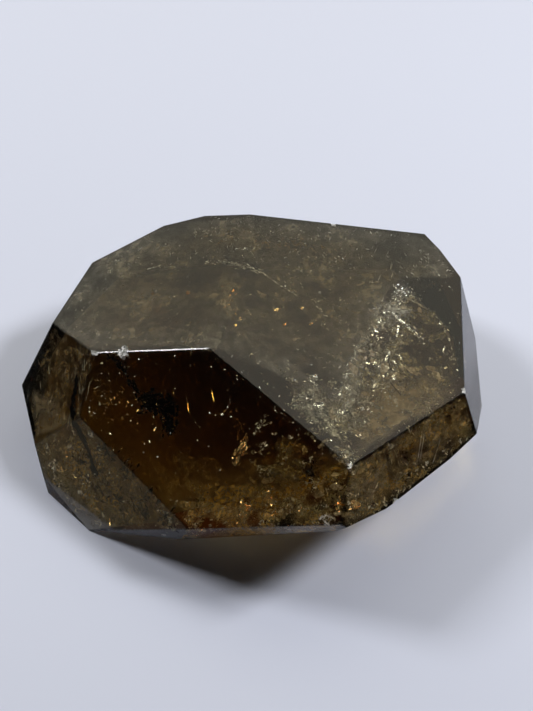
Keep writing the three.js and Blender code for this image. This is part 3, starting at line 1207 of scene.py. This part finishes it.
# %% Front cloud
FRONT_CLOUD = [
    [(6.6, -18.0, 21.9), (11.5, -19.9, 22.7), (16.0, -23.2, 22.8), (20.4, -25.0, 22.4)],
    [(0.5, -22.5, 16.2), (6.0, -23.9, 17.8), (13.0, -26.6, 19.6), (20.4, -28.0, 20.2)],
    [(-8.1, -27.6, 9.6), (0.4, -29.2, 12.6), (9.6, -31.2, 16.0), (19.6, -32.0, 18.4)],
]
FRONT_RIM_CLOUD = [
    [(-14.0, -25.0, 13.0), (-3.0, -28.0, 15.4), (6.0, -30.0, 18.0), (14.0, -31.6, 21.2)],
    [(-9.8, -30.3, 11.4), (2.0, -32.1, 15.7), (15.4, -33.9, 20.3)],
    [(-10.6, -29.6, 8.0), (2.0, -31.0, 11.8), (15.2, -33.0, 17.6)],
]
FRONT_GLOW = [
    [(-18.4, -16.4, 13.4), (-8.0, -18.6, 17.0), (1.0, -20.6, 19.8), (8.0, -21.6, 21.8)],
    [(-16.8, -22.0, 11.6), (-6.0, -24.6, 14.2), (4.0, -26.6, 17.0), (12.0, -28.0, 19.4)],
    [(-12.6, -28.4, 9.6), (-2.0, -29.8, 12.8), (7.6, -31.4, 16.4), (15.6, -32.4, 19.4)],
]
add_sheet("front_glow", FRONT_GLOW, amber_haze, amount=0.8, seed=15, rim=0.42)
add_sheet("front_haze", FRONT_CLOUD, amber_haze, amount=1.0, seed=4, rim=0.22)
add_sheet("front_cloud", FRONT_CLOUD, golden_veil, amount=2.0, seed=5, rim=0.35)
RIM_STRIP = [
    [(-10.2, -30.6, 11.2), (2.0, -32.6, 15.9), (15.6, -34.2, 20.2)],
    [(-11.4, -29.9, 6.8), (2.0, -31.9, 12.2), (15.3, -33.8, 17.9)],
]
add_sheet("front_rim_cloud", FRONT_RIM_CLOUD, amber_haze, amount=0.6, seed=16, rim=0.06)
add_sheet("rim_strip_haze", RIM_STRIP, amber_haze, amount=0.05, seed=25, rim=0.02, depth=0.2)

# %% [markdown]
# The cloud's scales come in two kinds, as in the bell: thirty large plates, mostly at the right,
# and about a thousand gold grains that get thicker toward the rim.

# %% Front grains
front_plates = Scales("front_cloud_plates", beige_plate, seed=42)
front_plates.over_sheet(
    FRONT_CLOUD, 30, (1.4, 4.0), 0.45, FLASH_FRONT, lean=0.25, scatter=0.6,
    weight=lambda across, down: 0.3 + 0.7 * across)
front_plates.finish()
front_cloud = Scales("front_cloud_grains", pale_gold, seed=41)
front_cloud.over_sheet(
    FRONT_CLOUD, 460, (0.08, 1.0), 0.36, FLASH_FRONT, lean=0.30, scatter=0.8,
    weight=lambda across, down: patchy(across, down, 6.0, 2.0) * (0.15 + 0.85 * down))
front_cloud.over_sheet(
    FRONT_RIM_CLOUD, 300, (0.08, 1.1), 0.36, FLASH_FRONT, lean=0.30, scatter=0.6,
    weight=lambda across, down: patchy(across, down, 6.0, 12.0))
front_cloud.tufts(FRONT_CLOUD, 24, 20, 0.45, (0.10, 0.9), 0.4, FLASH_FRONT, 0.25)
front_cloud.finish()

# %% [markdown]
# ## Veils at the left end
# Behind the left facet hangs a brown curtain. Its lower corner is covered by a smooth beige haze,
# and two near-black sheets at the very tip are painted shade: they stand in for the dark where no
# light comes through. Behind the front left facet, below, there are a brown shade and an amber cloud.

# %% Left veils
LEFT_CURTAIN = [
    [(-36.6, 8.2, 18.6), (-32.2, 3.5, 20.2), (-27.8, -1.2, 22.2)],
    [(-42.4, 1.4, 9.8), (-35.5, -2.5, 14.4), (-29.0, -6.2, 18.6)],
    [(-39.8, -9.8, 7.0), (-34.5, -10.2, 11.0), (-30.1, -10.2, 15.4)],
]
LEFT_TIP = [
    [(-37.6, 7.9, 17.9), (-37.0, 6.4, 17.6)],
    [(-40.3, 5.0, 13.8), (-38.6, 3.6, 14.2)],
    [(-42.0, 3.2, 11.3), (-39.6, 1.8, 12.4)],
    [(-42.9, 2.1, 9.8), (-40.2, 0.4, 11.0)],
    [(-43.6, 1.2, 8.7), (-40.6, -1.4, 9.8)],
    [(-41.9, -4.4, 7.6), (-40.2, -4.4, 8.8)],
]
LEFT_TIP_POINT = [
    [(-41.4, 3.8, 12.4), (-40.6, 2.6, 12.2)],
    [(-42.9, 2.1, 9.8), (-41.2, 0.8, 10.6)],
    [(-43.6, 1.2, 8.7), (-42.0, -0.4, 9.0)],
]
LOW_LEFT_CLOUD = [
    [(-39.2, -10.6, 6.6), (-34.5, -10.6, 11.0), (-30.0, -10.8, 15.2)],
    [(-37.4, -15.4, 3.2), (-28.5, -18.6, 7.6), (-20.0, -20.6, 13.2)],
    [(-28.8, -24.4, 0.9), (-20.0, -27.2, 5.4), (-10.4, -30.2, 11.0)],
]
add_sheet("left_curtain", LEFT_CURTAIN, brown_haze, amount=0.9, seed=6, rim=0.10)
# Painted shade: the next two sheets are near-black, to darken the tip where little light reaches.
add_sheet("left_tip_shade", LEFT_TIP, painted_shade_veil, amount=0.05, seed=17, rim=0.0, depth=0.12)
add_sheet("left_tip_point_shade", LEFT_TIP_POINT, black_seam_and_shade, amount=0.05, seed=28, rim=0.0, depth=0.15)
LEFT_CORNER = [
    [(-41.6, 0.4, 10.4), (-38.0, -2.6, 12.2), (-34.8, -5.0, 14.0)],
    [(-40.6, -5.4, 8.0), (-37.0, -7.4, 10.4), (-33.4, -8.6, 12.6)],
    [(-39.6, -9.8, 6.9), (-35.6, -10.0, 10.0), (-31.4, -10.0, 13.8)],
]
add_sheet("left_corner_haze", LEFT_CORNER, smooth_haze, amount=0.3, seed=26, rim=0.22)
add_sheet("low_left_shade", LOW_LEFT_CLOUD, brown_haze, amount=1.2, seed=18, rim=0.06)
add_sheet("low_left_cloud", LOW_LEFT_CLOUD, amber_haze, amount=2.6, seed=7, rim=0.30)

# %% [markdown]
# The left end has two kinds of gold: long streaks that hang down in the curtain, and small
# flecks in the cloud below it. The streaks are scales fourteen times as long as wide.

# %% Left flecks
LEFT_HANG = (-1.5, -10.2, -5.7)
left_flecks = Scales("left_end_flecks", pale_gold, seed=51)
left_flecks.over_sheet(
    LEFT_CURTAIN, 190, (0.3, 3.4), 0.07, FLASH_LEFT, lean=0.22, scatter=0.7, along=LEFT_HANG,
    weight=lambda across, down: patchy(across, down, 6.0, 5.0) * across)
left_flecks.over_sheet(
    LOW_LEFT_CLOUD, 260, (0.08, 0.8), 0.40, FLASH_FRONT_LEFT, lean=0.30, scatter=0.8,
    weight=lambda across, down: patchy(across, down, 7.0, 6.0))
left_flecks.tufts(LOW_LEFT_CLOUD, 22, 22, 0.6, (0.10, 1.0), 0.35, FLASH_FRONT_LEFT, 0.3)
left_flecks.along_line(
    [(-31.0, -9.8, 9.2), (-31.7, -11.2, 8.0), (-32.6, -12.8, 5.8)],
    80, (0.15, 1.2), 0.35, FLASH_FRONT_LEFT, lean=0.25, scatter=0.5)
left_flecks.finish()

# %% [markdown]
# ## Behind the front right facet
# Brown haze fills the whole facet, with an amber cloud in it and a smooth pale wedge at its left
# end. Gold grains get thicker toward the lower edge.

# %% Front right
RIGHT_CLOUD = [
    [(17.2, -26.8, 26.1), (27.5, -18.4, 24.7), (37.9, -9.9, 23.3)],
    [(17.2, -29.0, 24.0), (27.4, -20.6, 22.4), (38.2, -11.6, 21.4)],
    [(16.8, -31.4, 21.8), (27.6, -23.4, 20.0), (39.2, -13.0, 19.4)],
    [(16.9, -34.0, 19.8), (26.0, -27.4, 17.9), (35.4, -19.3, 17.2), (40.3, -14.4, 17.1)],
    [(16.0, -32.6, 17.0), (24.6, -26.8, 15.6), (33.6, -18.6, 14.8), (38.6, -13.8, 14.6)],
]
RIGHT_WEDGE = [
    [(16.9, -27.6, 24.6), (21.0, -25.0, 23.4), (24.4, -22.6, 22.4)],
    [(16.8, -31.4, 21.6), (20.0, -29.4, 20.4), (22.6, -27.0, 19.6)],
    [(16.6, -33.9, 19.6), (19.6, -32.0, 18.6), (22.0, -30.0, 18.0)],
]
add_sheet("right_wedge_haze", RIGHT_WEDGE, smooth_haze, amount=0.3, seed=27, rim=0.25)
add_sheet("front_right_haze", RIGHT_CLOUD, brown_haze, amount=0.7, seed=8, rim=0.02, depth=0.5)
add_sheet("front_right_cloud", RIGHT_CLOUD, amber_haze, amount=2.2, seed=19, rim=0.20)
right_grains = Scales("front_right_grains", pale_gold, seed=61)
right_grains.over_sheet(
    RIGHT_CLOUD, 300, (0.08, 1.1), 0.34, FLASH_FRONT_RIGHT, lean=0.30, scatter=0.7,
    weight=lambda across, down: patchy(across, down, 7.0, 8.0) * down)
right_grains.tufts(RIGHT_CLOUD, 18, 18, 0.5, (0.10, 1.0), 0.35, FLASH_FRONT_RIGHT, 0.25)
right_grains.finish()

# %% [markdown]
# A fan of short white needles and three long ones are the only straight lines in this corner.
# Real ones are hair-thin tubes or needles of another mineral, and each is one thin scale here.

# %% Needles
right_needles = Scales("front_right_needles", healed_crack, seed=62)
right_needles.along_line(
    [(23.8, -20.2, 20.0), (25.0, -22.6, 18.6), (24.4, -24.6, 16.8)],
    60, (0.4, 2.1), 0.13, FLASH_FRONT_RIGHT, lean=0.35, scatter=0.8)
for start, end, width in (
    ((30.1, -16.7, 23.6), (29.0, -22.6, 19.3), 0.20),
    ((33.6, -17.2, 20.5), (32.1, -21.2, 18.0), 0.16),
    ((30.5, -17.1, 23.0), (29.6, -21.8, 19.6), 0.12),
):
    right_needles.needle(start, end, width, FLASH_FRONT_RIGHT)
right_needles.cluster((18.6, -28.8, 18.8), 10, 0.4, (0.2, 0.8), 0.5, FLASH_FRONT_RIGHT, 0.2)
right_needles.finish()

# %% [markdown]
# ## Iron stain
# A few scales are stained orange by iron, and they are the warmest sparks in the stone. Under the
# top there are single ones and a short chain. A golden streak lies in the dark of the front
# facet, and bright groups lie low at the front, where the lamp reaches them best.

# %% Iron groups
iron = Scales("iron_scales", iron_stain, seed=71)
for spark in (
    (-17.5, 12.0, 22.6), (-10.7, 10.3, 24.9), (9.6, 6.1, 26.2), (5.2, 5.4, 26.8), (6.5, 2.1, 26.6),
    (11.4, 2.4, 26.2),
):
    iron.cluster(spark, 6, 0.16, (0.4, 0.9), 0.4, FLASH_TOP_LAMP, 0.08)
iron.along_line(
    [(-3.5, 10.3, 27.6), (-2.8, 7.3, 27.6), (-3.4, 4.3, 27.7), (-2.2, 1.9, 27.6)],
    50, (0.3, 1.0), 0.35, FLASH_TOP_LAMP, lean=0.2, scatter=0.5)
iron.along_line(
    [(0.3, -19.3, 23.0), (-0.4, -20.4, 22.0), (-1.2, -21.4, 21.0), (-1.7, -22.6, 20.0)],
    80, (0.4, 1.5), 0.42, FLASH_FRONT, lean=0.14, scatter=0.50)
for place, count, spread, sizes, shape in (
    ((0.2, -29.1, 16.7), 30, 0.50, (0.5, 1.6), 0.5),
    ((-0.1, -30.3, 15.8), 14, 0.35, (0.4, 1.2), 0.5),
    ((4.0, -28.6, 18.8), 18, 0.40, (0.5, 1.4), 0.5),
    ((4.7, -30.8, 17.6), 14, 0.40, (0.4, 1.2), 0.4),
    ((9.2, -31.2, 19.2), 8, 0.40, (0.3, 0.9), 0.5),
    ((-1.6, -30.5, 14.9), 8, 0.40, (0.3, 0.9), 0.5),
):
    iron.cluster(place, count, spread, sizes, shape, FLASH_FRONT, 0.10)
iron.cluster((15.2, -31.5, 21.8), 16, 0.40, (0.4, 1.2), 0.5, FLASH_FRONT, 0.12)
iron.cluster((18.1, -31.0, 21.0), 26, 0.45, (0.5, 1.4), 0.5, FLASH_FRONT_RIGHT, 0.10)
iron.cluster((37.8, -12.2, 17.6), 10, 0.30, (0.3, 0.8), 0.6, FLASH_FRONT_RIGHT, 0.2)

# %% [markdown]
# The rest is thinner: two slivers, a loose chain and short streaks behind the front facet, single
# spots along the lower rim and at the left end, and a glitter left of the black crumbs.

# %% Iron glitter
FRONT_LEFT_GLITTER = [
    [(-27.0, -3.4, 21.6), (-20.0, -5.8, 22.4), (-12.0, -8.0, 23.2)],
    [(-28.6, -8.6, 17.4), (-21.0, -12.0, 17.6), (-12.4, -15.6, 18.0)],
]
iron.needle((-9.8, -9.6, 19.6), (-9.4, -11.2, 18.6), 0.24, FLASH_FRONT)
iron.needle((-5.6, -8.4, 21.8), (-4.8, -10.6, 20.6), 0.16, FLASH_FRONT)
iron.along_line(
    [(-4.0, -12.6, 21.4), (-1.6, -13.8, 21.8), (-0.4, -15.6, 21.4), (-0.6, -17.4, 20.4)],
    40, (0.15, 0.9), 0.4, FLASH_FRONT, lean=0.35, scatter=0.4)
for streak in (
    [(-24.6, -6.0, 18.0), (-23.4, -8.4, 17.0)],
    [(-22.4, -6.6, 18.4), (-21.0, -8.8, 17.2)],
    [(-18.9, -7.0, 18.9), (-17.4, -9.2, 17.9)],
    [(-15.6, -10.6, 17.9), (-13.4, -14.0, 16.7)],
):
    iron.along_line(streak, 26, (0.12, 0.8), 0.35, FLASH_FRONT, lean=0.4, scatter=0.6)
for spot, count in (
    ((-9.4, -30.1, 9.2), 8), ((-7.4, -30.6, 10.6), 10),
    ((-0.7, -31.3, 11.0), 8), ((6.9, -32.7, 15.9), 12),
):
    iron.cluster(spot, count, 0.45, (0.3, 1.0), 0.6, FLASH_FRONT, 0.16)
for spot in (
    (-32.9, -13.4, 8.8), (-33.9, -15.4, 5.7), (-31.1, -17.8, 5.5),
    (-27.4, -22.2, 3.9), (-24.0, -24.8, 4.2),
):
    iron.cluster(spot, 9, 0.6, (0.3, 1.2), 0.35, FLASH_FRONT_LEFT, 0.12)
iron.over_sheet(
    FRONT_LEFT_GLITTER, 90, (0.15, 0.8), 0.35, FLASH_FRONT, lean=0.25, scatter=0.7,
    weight=lambda across, down: patchy(across, down, 6.0, 9.0) * down)
iron.finish()

# %% [markdown]
# ## Black seams
# One crack at the left end is filled with black mineral. The left facet and the front left one
# bend its line differently, so it is strewn once behind each. A chain of black crumbs crosses the
# front facet and ends in a thick clot, and small black patches sit low at the front and at the
# right.

# %% Seams
SEAM_LEFT = [(-31.0, -3.5, 18.1), (-31.1, -5.4, 17.0), (-31.6, -7.4, 15.4), (-31.4, -10.0, 14.2)]
SEAM_BELOW = [(-30.9, -10.9, 13.8), (-29.9, -12.1, 13.5), (-28.4, -14.8, 11.7), (-27.2, -17.9, 9.3)]
seams = Scales("black_seams", black_seam_and_shade, seed=81)
seams.along_line(
    SEAM_LEFT, 150, (0.6, 2.2), 0.40, FACET_LEFT, lean=0.06, scatter=0.18)
seams.along_line(
    SEAM_BELOW, 120, (0.6, 2.4), 0.42, FACET_FRONT_LEFT, lean=0.06, scatter=0.18)
seams.needle((-31.5, -7.4, 15.4), (-31.2, -10.1, 14.1), 1.9, FACET_LEFT)
seams.needle((-30.9, -10.9, 13.8), (-28.6, -14.4, 11.9), 1.3, FACET_FRONT_LEFT)
for patch in (
    (-20.7, -19.6, 13.5), (-16.6, -24.7, 11.4), (-24.5, -16.4, 13.6), (-26.0, -20.2, 7.2),
    (-18.5, -25.3, 8.9), (-13.4, -28.0, 10.7), (-22.4, -22.4, 8.3), (-30.1, -15.2, 9.6),
):
    seams.cluster(patch, 46, 1.1, (0.3, 1.9), 0.34, FACET_FRONT_LEFT, 0.25)
seams.along_line(
    [(-24.2, -1.6, 22.0), (-22.1, -2.9, 20.8), (-19.8, -6.2, 19.4), (-17.5, -8.9, 18.6)],
    100, (0.4, 1.6), 0.45, FACET_FRONT, lean=0.2, scatter=0.32)
seams.along_line(
    [(-17.5, -8.9, 18.6), (-14.8, -9.6, 19.0), (-12.9, -11.1, 19.0), (-13.2, -14.4, 16.6)],
    260, (0.4, 1.9), 0.6, FACET_FRONT, lean=0.2, scatter=0.85)
for place, count, spread, sizes in (
    ((-7.4, -25.3, 12.2), 30, 0.6, (0.3, 1.4)),
    ((-5.2, -26.4, 12.2), 16, 0.4, (0.3, 1.1)),
    ((10.6, -24.4, 20.2), 40, 0.9, (0.2, 0.9)),
    ((12.0, -23.2, 21.2), 28, 0.7, (0.2, 0.9)),
    ((4.6, -28.8, 14.2), 10, 0.8, (0.2, 0.8)),
):
    seams.cluster(place, count, spread, sizes, 0.5, FACET_FRONT, 0.3)
for place, count, spread, sizes, shape in (
    ((26.8, -21.1, 22.0), 40, 0.8, (0.2, 1.1), 0.5),
    ((35.0, -12.9, 22.4), 26, 0.6, (0.2, 1.0), 0.5),
    ((27.4, -24.0, 18.8), 22, 1.0, (0.2, 1.0), 0.4),
):
    seams.cluster(place, count, spread, sizes, shape, FACET_FRONT_RIGHT, 0.25)
seams.needle((24.5, -7.4, 22.5), (26.8, -10.9, 22.1), 0.26, FACET_TOP_RIGHT)
seams.needle((24.9, -1.0, 22.6), (25.0, -5.8, 22.4), 0.20, FACET_TOP_RIGHT)
seams.finish()

# %% [markdown]
# ## Dust
# Single bubbles too small to have a shape are everywhere in natural quartz. They show best
# against the dark front. They are strewn at different depths under the three broad facets, and
# all of them face a lamp, because the ones that don't are never seen.

# %% Dust
UNDER_TOP_RIGHT = [
    [(0.1, 27.7, 28.7), (40.0, 17.1, 23.3)],
    [(-6.5, -5.3, 29.6), (37.9, -9.8, 23.5)],
    [(16.9, -26.5, 26.3), (17.5, -26.5, 26.3)],
]
UNDER_TOP_LEFT = [
    [(-27.0, 22.0, 20.0), (0.1, 27.7, 28.7)],
    [(-36.6, 8.5, 19.2), (-3.0, 10.0, 29.0)],
    [(-27.6, -1.2, 22.8), (-6.5, -5.3, 29.6)],
]
UNDER_FRONT = [
    [(-27.6, -1.2, 22.8), (-6.5, -5.3, 29.6), (17.1, -26.7, 26.3)],
    [(-29.9, -10.6, 15.7), (-9.8, -30.6, 11.7), (15.5, -34.3, 20.7)],
]
dust = Scales("dust", bright_scale, seed=91)
dust.over_sheet(UNDER_TOP_RIGHT, 520, (0.20, 0.60), 0.6, FLASH_TOP_LAMP, 0.12, sink=(0.8, 5.0))
dust.over_sheet(UNDER_TOP_LEFT, 280, (0.20, 0.60), 0.6, FLASH_TOP_LAMP, 0.14, sink=(0.8, 5.0))
dust.over_sheet(UNDER_FRONT, 330, (0.18, 0.42), 0.7, FLASH_FRONT, 0.10, sink=(0.8, 4.0))
dust.finish()
